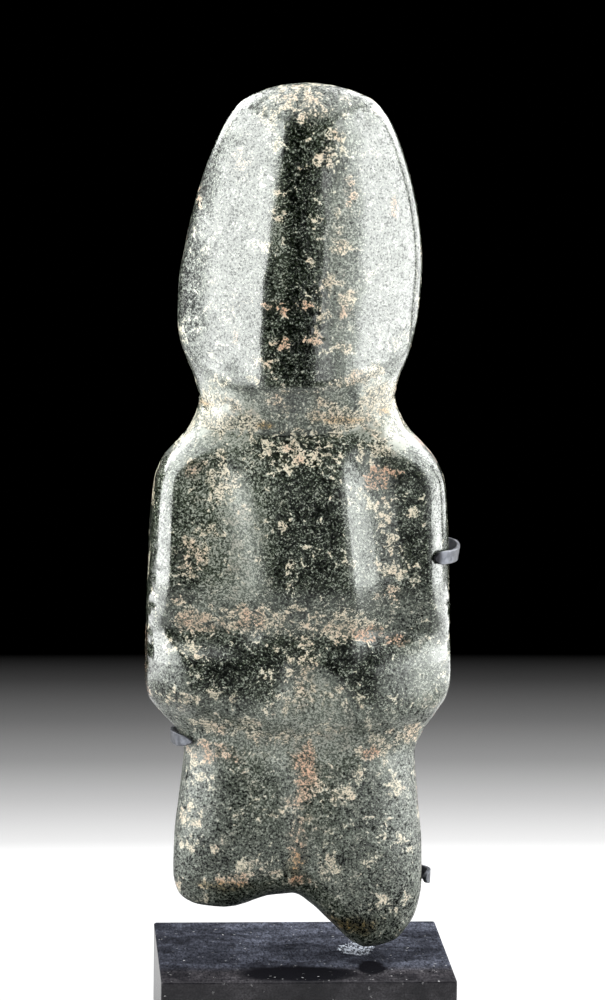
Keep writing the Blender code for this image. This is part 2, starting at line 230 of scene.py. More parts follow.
EARTH = (
    # the crown and the ridge down the head
    (-3.0, 260.8, 12.9, 6.0, 0.60, 0.25),
    (-13.3, 256.3, 4.3, 3.7, 0.60, 0.20),
    (-11.7, 248.4, 2.4, 1.9, 0.60, 0.10),
    (-2.9, 251.4, 2.4, 1.8, 0.50, 0.20),
    (6.6, 251.1, 2.9, 2.4, 0.65, 0.30),
    (1.6, 244.6, 4.0, 3.2, 0.60, 0.20),
    (-3.4, 241.6, 2.5, 1.8, 0.55, 0.60),
    (11.2, 235.8, 2.8, 4.3, 0.60, 0.60),
    (-9.2, 235.7, 2.8, 3.9, 0.60, 0.20),
    (-11.2, 228.9, 2.9, 3.1, 0.50, 0.20),
    (-1.1, 226.8, 3.9, 2.9, 0.45, 0.10),
    (7.9, 218.9, 3.5, 2.9, 0.80, 0.10),
    (3.5, 207.5, 5.0, 3.2, 0.80, 0.20),
    (9.5, 203.1, 3.1, 3.1, 0.60, 0.20),
    (-6.8, 201.5, 9.9, 2.3, 0.60, 0.90),
    (-21.7, 201.5, 4.3, 1.8, 0.45, 0.60),
    (2.7, 197.7, 3.8, 4.3, 0.65, 0.15),
    (9.6, 199.5, 3.1, 2.5, 0.50, 0.70),
    (0.1, 191.1, 4.3, 3.1, 0.70, 0.60),
    (-8.2, 190.5, 3.2, 2.3, 0.60, 0.90),
    (9.1, 189.1, 2.6, 2.3, 0.65, 0.20),
    (-33.5, 234.1, 2.0, 5.5, 0.60, 0.80),
    (24.6, 230.0, 1.8, 3.2, 0.85, 1.20),
    (-21.0, 242.5, 4.0, 5.0, 0.45, 0.90),
    (18.6, 246.0, 1.8, 1.6, 0.50, 0.80),
    (-22.5, 191.5, 1.6, 2.2, 0.60, 0.90),
    # the chin and the neck
    (12.5, 179.6, 7.0, 2.8, 0.85, 0.25),
    (18.8, 181.6, 3.7, 2.8, 0.75, 0.10),
    (-17.9, 179.7, 2.5, 1.8, 0.60, 0.10),
    (-14.1, 184.6, 3.7, 3.1, 0.40, 0.10),
    (-8.9, 171.6, 4.3, 2.8, 0.50, 0.40),
    (2.4, 172.6, 3.7, 2.5, 0.45, 0.40),
    (3.9, 168.1, 6.2, 2.5, 0.55, 0.30),
    (-29.8, 171.3, 6.2, 3.1, 0.75, 0.05),
    (-25.9, 165.6, 10.8, 4.3, 0.80, 0.05),
    (11.4, 167.2, 10.8, 3.4, 0.85, 0.10),
    (21.5, 172.5, 8.0, 5.5, 0.95, 0.10),
    # the chest and the arm panels
    (-3.4, 158.1, 14.5, 7.6, 0.65, 0.10),
    (-6.4, 158.7, 2.5, 1.8, 0.60, 0.50),
    (-3.4, 154.5, 3.1, 1.5, 0.55, 0.60),
    (-8.0, 135.8, 2.2, 2.5, 0.75, 0.15),
    (-6.7, 124.3, 1.9, 2.5, 0.75, 0.15),
    (-34.7, 152.1, 3.7, 3.7, 0.40, 0.70),
    (-30.1, 134.0, 4.0, 2.8, 0.60, 0.10),
    (-36.0, 124.9, 4.9, 7.4, 0.70, 0.35),
    (-39.5, 112.2, 3.7, 3.1, 0.65, 0.30),
    (-27.8, 150.0, 4.3, 11.0, 0.50, 0.05),
    (21.5, 149.1, 6.2, 3.7, 0.80, 1.20),
    (19.0, 157.0, 7.7, 4.3, 0.60, 0.10),
    (22.3, 137.1, 4.6, 7.7, 0.50, 0.20),
    (23.9, 124.9, 5.5, 7.7, 0.50, 0.20),
    (24.0, 115.2, 4.0, 3.7, 0.60, 0.60),
    # the band over the hands
    (-5.9, 106.1, 37.0, 6.6, 0.50, 0.20),
    (-17.9, 106.7, 5.5, 4.3, 0.85, 0.50),
    (-32.9, 105.5, 7.4, 4.3, 0.65, 0.50),
    (11.6, 103.7, 6.8, 4.3, 0.80, 0.25),
    (18.0, 102.2, 4.5, 2.5, 0.85, 1.30),
    (26.5, 100.4, 4.2, 2.2, 0.85, 1.60),
    # the hands and the belly
    (-35.8, 97.0, 9.2, 4.9, 0.50, 0.10),
    (-39.3, 82.4, 6.2, 2.6, 0.85, 0.15),
    (-28.2, 85.4, 4.9, 2.5, 0.65, 0.10),
    (-22.8, 83.3, 1.9, 1.9, 0.80, 0.20),
    (15.4, 82.9, 3.1, 2.8, 0.75, 0.05),
    (26.9, 82.3, 3.3, 2.3, 0.65, 0.05),
    (-2.8, 93.0, 7.0, 8.6, 0.50, 0.25),
    (-5.2, 82.3, 5.5, 4.9, 0.45, 0.20),
    # the waist
    (-28.2, 73.2, 7.7, 3.1, 0.65, 0.10),
    (-29.0, 65.3, 6.8, 3.7, 0.80, 0.60),
    (-8.6, 70.1, 9.2, 3.1, 0.50, 0.20),
    (23.1, 67.9, 7.4, 4.9, 0.65, 0.15),
    (19.5, 65.4, 2.6, 2.6, 0.80, 0.90),
    (32.2, 70.0, 3.1, 4.3, 0.75, 0.30),
    # the legs and the feet
    (-0.9, 59.4, 4.6, 8.6, 0.75, 0.80),
    (-2.4, 51.7, 3.9, 4.3, 0.60, 0.80),
    (-3.0, 38.0, 3.6, 9.0, 0.45, 0.80),
    (-5.9, 47.1, 4.9, 3.7, 0.50, 0.20),
    (-34.1, 57.9, 4.3, 5.5, 0.50, 0.10),
    (-35.5, 45.6, 4.9, 5.5, 0.55, 0.05),
    (-32.4, 36.4, 6.2, 3.1, 0.55, 0.10),
    (-21.8, 26.5, 6.8, 2.8, 0.80, 0.40),
    (-39.0, 23.1, 3.7, 2.8, 0.60, 0.10),
    (11.2, 51.6, 4.3, 3.1, 0.65, 0.15),
    (21.9, 42.4, 4.9, 4.3, 0.45, 0.05),
    (19.0, 33.1, 4.3, 4.3, 0.50, 0.05),
    (26.3, 54.7, 3.7, 6.2, 0.50, 0.05),
    (6.9, 30.1, 4.3, 6.2, 0.55, 0.10),
    (23.8, 17.6, 6.2, 4.3, 0.60, 0.10),
    (29.6, 36.2, 3.1, 4.9, 0.55, 0.10),
    (-2.1, 25.8, 3.1, 2.5, 0.65, 0.90),
)

# Thin pale haze that no one patch of earth explains, with painted sheen on the neck's sides and the
# head's right edge, in the same terms: place, half-sizes, amount.
HAZE_AND_PAINTED_SHEEN = (
    (-2.0, 70.0, 44.0, 12.0, 1.0),
    (-2.0, 50.0, 44.0, 20.0, 0.35),
    (-2.0, 108.0, 40.0, 8.0, 0.6),
    (-3.0, 171.0, 34.0, 8.0, 1.0),
    # painted sheen on the neck's sides
    (-27.0, 166.0, 12.0, 14.0, 2.0),
    (23.0, 169.0, 14.0, 14.0, 2.8),
    (-23.0, 130.0, 14.0, 30.0, 1.3),
    (14.0, 130.0, 6.0, 22.0, 0.5),
    (9.0, 214.0, 7.0, 40.0, 0.8),
    (-10.0, 222.0, 3.0, 24.0, 0.9),
    (-34.0, 150.0, 10.0, 13.0, 0.9),
    (37.0, 90.0, 8.0, 14.0, 1.0),
    (-2.0, 24.0, 40.0, 9.0, 0.3),
    (0.0, 262.0, 24.0, 7.0, 0.2),
    # painted sheen on the head's right edge
    (37.5, 215.0, 4.0, 36.0, 1.2),
)

# Where the stone is bare and darkest, in the same terms.
DARK = (
    (-5.0, 234.0, 4.0, 26.0, 1.5),
    (-5.0, 192.0, 8.0, 22.0, 1.3),
    (-38.0, 207.0, 6.0, 26.0, 1.0),
    (-32.5, 240.0, 4.5, 14.0, 0.8),
    (-2.0, 133.0, 12.0, 24.0, 1.0),
    (31.0, 134.0, 7.0, 24.0, 0.4),
    (-23.0, 93.0, 13.0, 9.0, 1.1),
    (15.0, 93.0, 9.0, 9.0, 1.3),
    (-25.0, 45.0, 10.0, 16.0, 0.3),
    (16.0, 48.0, 10.0, 14.0, 0.3),
    (24.0, 22.0, 12.0, 10.0, 0.4),
    (-22.0, 22.0, 16.0, 5.0, 0.3),
)

# Where the old polish still shines, in the same terms: place, half-sizes, strength.
POLISH = (
    (-3.0, 216.0, 90.0, 62.0, 1.0),
    (-3.0, 134.0, 60.0, 50.0, 0.65),
    (-46.5, 120.0, 7.0, 52.0, 1.0),
    (41.5, 120.0, 7.0, 52.0, 1.0),
    (-2.0, 92.0, 60.0, 20.0, 0.60),
    (-2.0, 46.0, 50.0, 44.0, 0.30),
)

# Where that polish is worn away, in the same terms.
WORN = (
    (9.5, 216.0, 6.0, 42.0, 0.75),
    (-10.5, 222.0, 2.5, 40.0, 0.40),
    (-20.0, 132.0, 10.0, 30.0, 0.30),
    (-3.0, 262.0, 13.0, 7.0, 0.80),
    (-37.0, 207.0, 6.5, 26.0, 0.75),
    (-32.0, 240.0, 5.0, 14.0, 0.60),
    (37.0, 212.0, 4.0, 34.0, 0.55),
)

# Brown and yellow stains, in the same terms: place, half-sizes and strength.
OCHRE = (
    (-13.0, 164.7, 2.6, 1.1, 0.9),
    (-31.0, 170.6, 2.6, 0.9, 0.6),
    (8.4, 166.6, 7.7, 0.9, 0.5),
    (22.0, 169.0, 2.2, 1.6, 0.5),
    (13.8, 11.4, 8.4, 3.2, 0.9),
    (-3.4, 30.7, 3.1, 4.6, 0.6),
    (-25.0, 24.0, 9.0, 1.8, 0.6),
)


# ---- The figure's surface. ----


def monotone_curve(points):
    """A smooth curve through the points that never overshoots between two of them."""
    table = np.array(sorted(points), dtype=float)
    x, y = table[:, 0], table[:, 1]
    step = np.diff(x)
    slope = np.diff(y) / step
    before, after = slope[:-1], slope[1:]
    turning = before * after <= 0
    first = np.where(turning, 1.0, before)
    second = np.where(turning, 1.0, after)
    heavy = 2 * step[1:] + step[:-1]
    light = step[1:] + 2 * step[:-1]
    inner = np.where(turning, 0.0, (heavy + light) / (heavy / first + light / second))
    tangent = np.concatenate([slope[:1], inner, slope[-1:]])

    def curve(at):
        at = np.clip(at, x[0], x[-1])
        i = np.clip(np.searchsorted(x, at, side="right") - 1, 0, len(step) - 1)
        t = (at - x[i]) / step[i]
        leaving = (1 + 2 * t) * (1 - t) ** 2 * y[i] + t * (1 - t) ** 2 * step[i] * tangent[i]
        arriving = t * t * (3 - 2 * t) * y[i + 1] + t * t * (t - 1) * step[i] * tangent[i + 1]
        return leaving + arriving

    return curve


def root_curve(points):
    """A curve through the points whose square is smooth, so that it closes round at a zero."""
    square = monotone_curve([(at, value * value) for at, value in points])
    return lambda at: np.sqrt(np.maximum(square(at), 0.0))


def smooth_step(low, high, value):
    t = np.clip((value - low) / (high - low), 0.0, 1.0)
    return t * t * (3 - 2 * t)


def window(rise_from, rise_to, fall_from, fall_to, value):
    return smooth_step(rise_from, rise_to, value) * (1 - smooth_step(fall_from, fall_to, value))


def soft_min(first, second, radius):
    """The lower of two, with the corner between them rounded."""
    share = np.clip(0.5 + 0.5 * (second - first) / radius, 0.0, 1.0)
    return second * (1 - share) + first * share - radius * share * (1 - share)


def polygon_section(left_faces, right_faces, sharpness):
    """Half-width and half-depth of a rounded polygon at each angle, reaching just 1 along each."""
    turned = {(side * tilt % 360, reach) for tilt, reach in right_faces for side in (1, -1)}
    turned |= {((180 + side * tilt) % 360, reach) for tilt, reach in left_faces for side in (1, -1)}
    turns = sorted((math.radians(tilt), reach) for tilt, reach in turned)

    def radius(angle):
        total = 0
        for tilt, reach in turns:
            total = total + (np.clip(np.cos(angle - tilt), 0, 1) / reach) ** sharpness
        return total ** (-1 / sharpness)

    sweep = np.linspace(0, 2 * math.pi, 721)
    across = radius(sweep) * np.cos(sweep)
    deepest = (radius(sweep) * np.sin(sweep)).max()

    def section(angle):
        reach = radius(angle)
        side = reach * np.cos(angle)
        side = np.where(side > 0, side / across.max(), -side / across.min())
        return side, reach * np.sin(angle) / deepest

    return section


def round_section(angle):
    across, out = np.cos(angle), np.sin(angle)
    reach = (np.abs(across) ** ROUND_POWER + np.abs(out) ** ROUND_POWER) ** (-1 / ROUND_POWER)
    return reach * across, reach * out


spine = monotone_curve([(height, (left + right) / 2) for height, left, right in OUTLINE])
half_width = root_curve([(height, (right - left) / 2) for height, left, right in OUTLINE])
front_depth = root_curve(FRONT)
back_depth = root_curve(BACK)
foot_drop = monotone_curve(FOOT_DROP)
head_section = polygon_section(HEAD_LEFT, HEAD_RIGHT, HEAD_SHARPNESS)
body_section = polygon_section(BODY_FACES, BODY_FACES, BODY_SHARPNESS)


def read_height(height, across):
    """The height at which the front's profile is read, for each place across the width."""
    reach = np.abs(across)
    chin = CHIN_RISE * reach ** np.where(across < 0, *CHIN_CURL)
    waist = WAIST_RISE * reach ** np.where(across < 0, *WAIST_CURL)
    chin = chin * window(*CHIN_REACH, height)
    return height - chin - waist * window(*WAIST_REACH, height)


def mixed_section(angle, height, read):
    """Half-width and half-depth, each up to 1, of the section at each height."""
    head = smooth_step(*HEAD_FROM, read)
    body = window(*BODY_REACH, height)
    shapes = (head_section(angle), body_section(angle), round_section(angle))
    shares = (head, body, 1 - head - body)
    side = sum(share * shape[0] for share, shape in zip(shares, shapes))
    out = sum(share * shape[1] for share, shape in zip(shares, shapes))
    return side, out


def trimmed_width(side, height, read):
    """How far out the section reaches. The head's flat facets run straight down to the chin, and
    the outline trims their sides."""
    outline = half_width(height)
    facets = half_width(np.maximum(height, TRIM_FROM))
    reach = np.abs(side)
    trimmed = soft_min(facets * reach, outline, np.maximum(facets - outline, 0.01))
    head = smooth_step(*HEAD_FROM, read)
    return np.sign(side) * (head * trimmed + (1 - head) * outline * reach)


def lean(ends, height):
    share = np.clip((SHOULDERS - height) / (SHOULDERS - HANDS), 0, 1)
    return ends[0] + (ends[1] - ends[0]) * share


def ramp_from(edge, rounding):
    """Nothing short of an edge and rising evenly beyond it, with the corner rounded."""
    return -soft_min(-edge, 0.0, rounding)


def arm_panels(x, height, front):
    """The depth that the stone is cut down to beside the chest."""
    left = FLANK_LEFT * ramp_from(lean(CHEST_LEFT, height) - x, EDGE_LEFT)
    right = FLANK_RIGHT * ramp_from(x - lean(CHEST_RIGHT, height), EDGE_RIGHT)
    cut = soft_min(np.maximum(left, right), PANEL_CUT, PANEL_ROUNDING)
    return front - cut * window(*PANEL_REACH, height)


def right_elbow(x, height):
    """The depth that the stone is cut down to over the right elbow."""
    sloped = ELBOW_DEPTH - ELBOW_SLOPE * np.maximum(x - ELBOW_X, 0)
    return sloped + UNCUT * (1 - window(*ELBOW_REACH, height))


def belly_notch(x, height):
    """The depth taken out of the belly between and below the hands."""
    low, high = NOTCH_MIDDLE
    middle = low + (high - low) * smooth_step(*NOTCH_LEAN, height)
    half = NOTCH_HALF_WIDTH * np.sqrt(np.clip((NOTCH_TOP - height) / NOTCH_OPENING, 0, 1))
    inside = 1 - smooth_step(*NOTCH_EDGE, np.abs(x - middle) - half)
    return NOTCH_DEPTH * inside * window(*NOTCH_REACH, height)


def leg_groove(x, height):
    across = np.exp(-(((x - GROOVE_X) / GROOVE_WIDTH) ** 2))
    return GROOVE_DEPTH * across * window(*GROOVE_REACH, height)


def stone_surface(angle, height):
    """The stone's surface in each direction round it, at each height of the blank."""
    read = read_height(height, np.cos(angle))
    side, out = mixed_section(angle, height, read)
    x = spine(height) + trimmed_width(side, height, read)
    front = front_depth(read)
    carved = soft_min(-front * out, arm_panels(x, height, front), PANEL_SEAM)
    carved = soft_min(carved, right_elbow(x, height), ELBOW_ROUNDING)
    relief = belly_notch(x, height) + leg_groove(x, height)
    carved = carved - smooth_step(*FACING, -out) * relief
    y = np.where(out < 0, -carved, back_depth(height) * out)
    z = height - foot_drop(x) * (1 - smooth_step(*FOOT_FADE, height))
    return x, y, z


def block_grid(cells):
    """A two-unit cube whose faces are cut into cells."""
    grid = bmesh.new()
    bmesh.ops.create_cube(grid, size=2)
    for axis, count in enumerate(cells):
        along = [edge for edge in grid.edges
                 if abs(edge.verts[0].co[axis] - edge.verts[1].co[axis]) > MM]
        bmesh.ops.subdivide_edges(grid, edges=along, cuts=count - 1, use_grid_fill=True)
    return grid


def wrap_block(points):
    """The angle and the height on the stone for each point of the cube."""
    bx, by, bz = points.T
    ring = np.maximum(np.abs(bx), np.abs(by))
    by_ring = by / np.maximum(ring, MM)
    bx_ring = bx / np.maximum(ring, MM)
    eighth = math.pi / 4
    facing = by_ring * (2 * eighth - bx_ring * eighth)
    sideways = np.where(bx > 0, by_ring * eighth, math.pi - by_ring * eighth)
    angle = np.where(np.abs(by) >= np.abs(bx), facing, sideways)
    top = CROWN - CROWN_CAP * ring ** 2
    bottom = BLADE + BLADE_CAP * ring ** 2
    share = (bz + 1) / 2
    rows = BLADE + BLADE_CAP + (CROWN - CROWN_CAP - BLADE - BLADE_CAP) * share
    height = np.where(bz > 1 - MM, top, np.where(bz < MM - 1, bottom, rows))
    return angle, height


# ---- Fine relief: wear, peck marks and chips, along the surface's normal. ----


# The noises laid over the stone: the size of the coarsest grain in millimetres, how many octaves,
# and a number that sets each one apart.
RAGGED_EDGES = (3.2, 3, 1)
CLUSTERS = (9.0, 3, 2)
STAINS_BEHIND = (14.0, 2, 3)
SLOW_WEAR = (15.0, 3, 4)
POLISHING_STREAKS = (3.0, 2, 5)
PECK_MARKS = (1.9, 3, 6)
CHIPS = (4.5, 3, 7)
DRIFT = (9.0, 3, 8)
SEED_STEP = Vector((17.3, 5.1, 9.7))

# Depths of the relief in millimetres, and where along the stone it is worn and chipped.
CREASE_DEPTH = 0.45
CREASE_WIDTH = 0.9
WEAR_DEPTH = 0.05
STREAK_DEPTH = 0.035
STREAK_STRETCH = (1, 1, 0.12)
PECK_DEPTH = 0.33
CHIP_DEPTH = 0.5
PECKED_CROWN = (250, 262)
CHIPPED_ARMS = (78, 90, 118, 134)
CHIPPED_JAW = (150, 165, 176, 186)

# Between which heights earth gathers on the back, and how hazy the belly's hollow is.
EARTHY_NECK = (150, 160, 170, 182)
EARTHY_WAIST = (56, 66, 72, 84)
EARTHY_CROWN = (252, 264)
HOLLOW_HAZE = 1.3


def roughness_over(points, size, octaves, seed):
    """Fractal noise at each point, about -1 to 1, whose coarsest grain is of the given size."""
    away = SEED_STEP * seed
    return np.array([noise.fractal(Vector(point) / size + away, 1.0, 2.0, octaves)
                     for point in points])


def patches(table, points, ragged):
    """How much of each patch of a table lies at each point of the front, with ragged edges."""
    x, z = points[:, 0], points[:, 2]
    for across, up, half_wide, half_high, amount, *more in table:
        reach = np.hypot((x - across) / half_wide, (z - up) / half_high)
        yield amount * (1 - smooth_step(0.45, 1.25, reach + 0.55 * ragged)), more


def earth_and_stains(points, facing):
    """The shares of the stone that pale earth, red stain and ochre cover at each point."""
    ragged = roughness_over(points, *RAGGED_EDGES)
    clusters = roughness_over(points, *CLUSTERS)
    bare = np.ones(len(points))
    red = np.zeros(len(points))
    for cover, (stain,) in patches(EARTH, points, ragged):
        bare *= 1 - cover
        red = np.maximum(red, cover * stain)
    front = 1 - bare
    z = points[:, 2]
    hollows = window(*EARTHY_NECK, z) + window(*EARTHY_WAIST, z)
    behind = 1.3 * clusters + 0.25 * hollows + 0.5 * smooth_step(*EARTHY_CROWN, z)
    behind = np.clip(behind, 0, 0.75)
    faded = smooth_step(0.0, 0.45, facing)
    scatter = np.clip(0.9 * clusters - 0.12, 0, 0.5)
    earth = faded * np.maximum(front, scatter) + (1 - faded) * behind
    stained_behind = smooth_step(0.15, 0.45, roughness_over(points, *STAINS_BEHIND))
    red = faded * red + (1 - faded) * stained_behind
    ochre = np.zeros(len(points))
    for cover, _ in patches(OCHRE, points, ragged):
        ochre = np.maximum(ochre, cover * faded)
    return earth, red, ochre


def largest_cover(table, points, ragged):
    """The most that any patch of a table covers each point of the front."""
    cover = np.zeros(len(points))
    for patch, _ in patches(table, points, ragged):
        cover = np.maximum(cover, patch)
    return cover


def fine_relief(points, normals, earth, read):
    """How far the worn surface stands out of or into the smooth form, in millimetres."""
    z = points[:, 2]
    sideways = np.abs(normals[:, 0])
    crease = np.exp(-(((read - NECK_CREASE) / CREASE_WIDTH) ** 2)) * (normals[:, 1] < 0.3)
    wear = WEAR_DEPTH * roughness_over(points, *SLOW_WEAR)
    streaks = STREAK_DEPTH * roughness_over(points * STREAK_STRETCH, *POLISHING_STREAKS)
    pecks = np.clip(roughness_over(points, *PECK_MARKS) - 0.08, 0, 1)
    pecked = np.clip(earth * 1.2, 0, 1) + 0.7 * smooth_step(*PECKED_CROWN, z)
    chips = np.clip(roughness_over(points, *CHIPS) - 0.12, 0, 1)
    arms = smooth_step(0.55, 0.9, sideways) * window(*CHIPPED_ARMS, z)
    jaw = 0.6 * smooth_step(0.5, 0.9, sideways) * window(*CHIPPED_JAW, z)
    blade = 0.5 * (1 - smooth_step(-0.75, -0.35, normals[:, 2]))
    chipped = np.clip(arms + jaw + blade, 0, 1)
    taken = PECK_DEPTH * pecks * pecked + CHIP_DEPTH * chips * chipped + CREASE_DEPTH * crease
    return wear + streaks - taken


def set_attribute(mesh, name, values):
    attribute = mesh.attributes.new(name, "FLOAT", "POINT")
    attribute.data.foreach_set("value", np.asarray(values, dtype=np.float32))


def read_vectors(collection, field):
    found = np.empty(len(collection) * 3)
    collection.foreach_get(field, found)
    return found.reshape(-1, 3)


def smooth_carving():
    """The smooth form as a mesh in millimetres, with each point's angle and height on the stone."""
    grid = block_grid(STONE_CELLS)
    mesh = bpy.data.meshes.new("greenstone_carving")
    grid.to_mesh(mesh)
    grid.free()
    angle, height = wrap_block(read_vectors(mesh.vertices, "co"))
    smooth = np.stack(stone_surface(angle, height), axis=1)
    mesh.vertices.foreach_set("co", smooth.ravel())
    faces = bmesh.new()
    faces.from_mesh(mesh)
    bmesh.ops.recalc_face_normals(faces, faces=faces.faces)
    faces.to_mesh(mesh)
    faces.free()
    return mesh, smooth, angle, height


def polish_haze_and_sheen(smooth, height, facing):
    """How well polished the stone is at each point, and how much pale haze and painted sheen lie on
    it.
    """
    ragged = roughness_over(smooth, *DRIFT)
    polish = largest_cover(POLISH, smooth, 0.5 * ragged)
    polish = polish * (1 - largest_cover(WORN, smooth, 0.5 * ragged))
    hollow = belly_notch(smooth[:, 0], height) / NOTCH_DEPTH * smooth_step(0.0, 0.5, facing)
    polish = polish * (1 - 0.6 * hollow)
    bare = largest_cover(DARK, smooth, ragged)
    haze = largest_cover(HAZE_AND_PAINTED_SHEEN, smooth, ragged) - 0.8 * bare
    haze = haze * smooth_step(-0.2, 0.3, facing)
    return polish, haze + (HOLLOW_HAZE - haze) * hollow


def greenstone_carving():
    mesh, smooth, angle, height = smooth_carving()
    normals = read_vectors(mesh.vertex_normals, "vector")
    facing = -normals[:, 1]
    earth, red, ochre = earth_and_stains(smooth, facing)
    polish, haze = polish_haze_and_sheen(smooth, height, facing)
    read = read_height(height, np.cos(angle))
    worn = smooth + normals * fine_relief(smooth, normals, earth, read)[:, None]
    worn = worn * MM + (0, FIGURE_Y, BLOCK_TOP)
    mesh.vertices.foreach_set("co", worn.ravel())
    shares = {"earth": earth, "red": red, "ochre": ochre, "polish": polish, "haze": haze}
    for name, values in shares.items():
        set_attribute(mesh, name, values)
    mesh.shade_smooth()
    carving = bpy.data.objects.new("greenstone_carving", mesh)
    bpy.context.scene.collection.objects.link(carving)
    return carving


# ---- Materials. ----


# A Mix node's two colours and its mixed colour, by their numbers among its sockets.
FIRST_COLOUR = 6
SECOND_COLOUR = 7
MIXED_COLOUR = 2

# The size of the noise that makes a patch's edge uneven, and how far it moves the edge.
PATCH_SHAKE = (9.0, 6.0)


class Value:
    """An output of a material's node, so that shader sums read as sums."""

    def __init__(self, finish, socket):
        self.finish = finish
        self.socket = socket

    def math(self, operation, first, second):
        return self.finish.node("ShaderNodeMath", {"operation": operation}, {0: first, 1: second})

    def __add__(self, other):
        return self.math("ADD", self, other)

    def __sub__(self, other):
        return self.math("SUBTRACT", self, other)

    def __rsub__(self, other):
        return self.math("SUBTRACT", other, self)

    def __mul__(self, other):
        return self.math("MULTIPLY", self, other)

    __radd__ = __add__
    __rmul__ = __mul__

    def clamp(self):
        settings = {"operation": "MULTIPLY", "use_clamp": True}
        return self.finish.node("ShaderNodeMath", settings, {0: self, 1: 1.0})

    def step(self, low, high):
        """0 below low, 1 above high, and smooth between them."""
        sockets = {"Value": self, "From Min": low, "From Max": high}
        return self.finish.node("ShaderNodeMapRange", {"interpolation_type": "SMOOTHSTEP"}, sockets)

    def mix(self, low, high):
        """The first colour where this value is 0, and the second where it is 1."""
        settings = {"data_type": "RGBA"}
        sockets = {0: self, FIRST_COLOUR: low, SECOND_COLOUR: high}
        return self.finish.node("ShaderNodeMix", settings, sockets, MIXED_COLOUR)

    def ramp(self, stops):
        """The colour at this value along a row of stops."""
        return self.finish.node("ShaderNodeValToRGB", {"stops": stops}, {0: self})

    def times(self, tint):
        """This colour multiplied by another."""
        settings = {"data_type": "RGBA", "blend_type": "MULTIPLY"}
        sockets = {0: 1.0, FIRST_COLOUR: self, SECOND_COLOUR: tint}
        return self.finish.node("ShaderNodeMix", settings, sockets, MIXED_COLOUR)

    def part(self, index):
        """One of the three numbers of a colour or a place."""
        return self.finish.node("ShaderNodeSeparateColor", {}, {0: self}, index)


def set_stops(elements, stops):
    """Gives a ramp, which starts with two elements, this row of stops."""
    for place, _ in stops[2:]:
        elements.new(place)
    for element, (place, colour) in zip(elements, stops):
        element.position = place
        element.color = colour


class Finish:
    """A material in the making: its node tree, and the one method that adds a node."""

    def __init__(self, name, constants):
        self.material = bpy.data.materials.new(name)
        self.material.use_nodes = True
        self.tree = self.material.node_tree
        self.shader = self.tree.nodes["Principled BSDF"]
        for socket, value in constants.items():
            self.shader.inputs[socket].default_value = value
        coordinates = self.node("ShaderNodeTexCoord", {}, {}, "Object")
        scale = {"operation": "SCALE"}
        self.place = self.node("ShaderNodeVectorMath", scale, {0: coordinates, "Scale": 1 / MM})

    def feed(self, socket, value):
        if isinstance(value, Value):
            self.tree.links.new(value.socket, socket)
        else:
            socket.default_value = value

    def node(self, kind, settings, sockets, output=0):
        node = self.tree.nodes.new(kind)
        for name, value in settings.items():
            if name == "stops":
                set_stops(node.color_ramp.elements, value)
            else:
                setattr(node, name, value)
        for key, value in sockets.items():
            self.feed(node.inputs[key], value)
        return Value(self, node.outputs[output])

    def attribute(self, name):
        return self.node("ShaderNodeAttribute", {"attribute_name": name}, {}, "Fac")

    def noise(self, size, detail=2.0, rough=0.5, place=None, output=0, distortion=0.0):
        """Soft noise, 0 to 1, whose coarsest grain has this size in millimetres."""
        sockets = {"Vector": place or self.place, "Scale": 1 / size, "Detail": detail,
                   "Roughness": rough, "Distortion": distortion}
        return self.node("ShaderNodeTexNoise", {}, sockets, output)

    def patch(self, around):
        """1 inside a soft level patch, given by its middle and its half-sizes, and 0 outside."""
        x, y, half_wide, half_deep = around
        settings = {"operation": "MULTIPLY_ADD"}
        scale = (1 / half_wide, 1 / half_deep, 0.0)
        middle = (-x / half_wide, -y / half_deep, 0.0)
        sockets = {0: self.shaken(*PATCH_SHAKE), 1: scale, 2: middle}
        within = self.node("ShaderNodeVectorMath", settings, sockets)
        reach = self.node("ShaderNodeVectorMath", {"operation": "LENGTH"}, {0: within}, "Value")
        return 1 - reach.step(0.8, 1.2)

    def stretched(self, x, y, z):
        """The place with each direction made longer or shorter, for streaks."""
        settings = {"operation": "MULTIPLY"}
        return self.node("ShaderNodeVectorMath", settings, {0: self.place, 1: (x, y, z)})

    def grains(self, size, place, output="Color"):
        """Cells of this size in millimetres, each with three numbers of its own."""
        sockets = {"Vector": place, "Scale": 1 / size}
        return self.node("ShaderNodeTexVoronoi", {}, sockets, output)

    def shaken(self, size, amount):
        """The place moved about a little, so that cells laid on it are irregular."""
        jitter = self.noise(size, output=1)
        settings = {"operation": "MULTIPLY_ADD"}
        centred = {0: jitter, 1: (1.0,) * 3, 2: (-0.5,) * 3}
        jitter = self.node("ShaderNodeVectorMath", settings, centred)
        sockets = {0: jitter, 1: (amount,) * 3, 2: self.place}
        return self.node("ShaderNodeVectorMath", settings, sockets)

    def dull(self, share, colour):
        """Turns a share of the surface to a bare colour without any gloss."""
        constants = {"Base Color": colour, "Roughness": 1.0, "Specular IOR Level": 0.0}
        bare = self.node("ShaderNodeBsdfPrincipled", {}, constants)
        glossy = Value(self, self.shader.outputs[0])
        both = self.node("ShaderNodeMixShader", {}, {0: share, 1: glossy, 2: bare})
        self.feed(self.tree.nodes["Material Output"].inputs["Surface"], both)

    def surface(self, colour, roughness, height, depth, coat=None):
        """Feeds the shader: its colour, its roughness and a bump of this depth in millimetres."""
        self.feed(self.shader.inputs["Base Color"], colour)
        self.feed(self.shader.inputs["Roughness"], roughness)
        bump = self.node("ShaderNodeBump", {}, {"Height": height, "Distance": depth * MM})
        self.feed(self.shader.inputs["Normal"], bump)
        if coat is not None:
            self.feed(self.shader.inputs["Coat Weight"], coat)
        return self.material


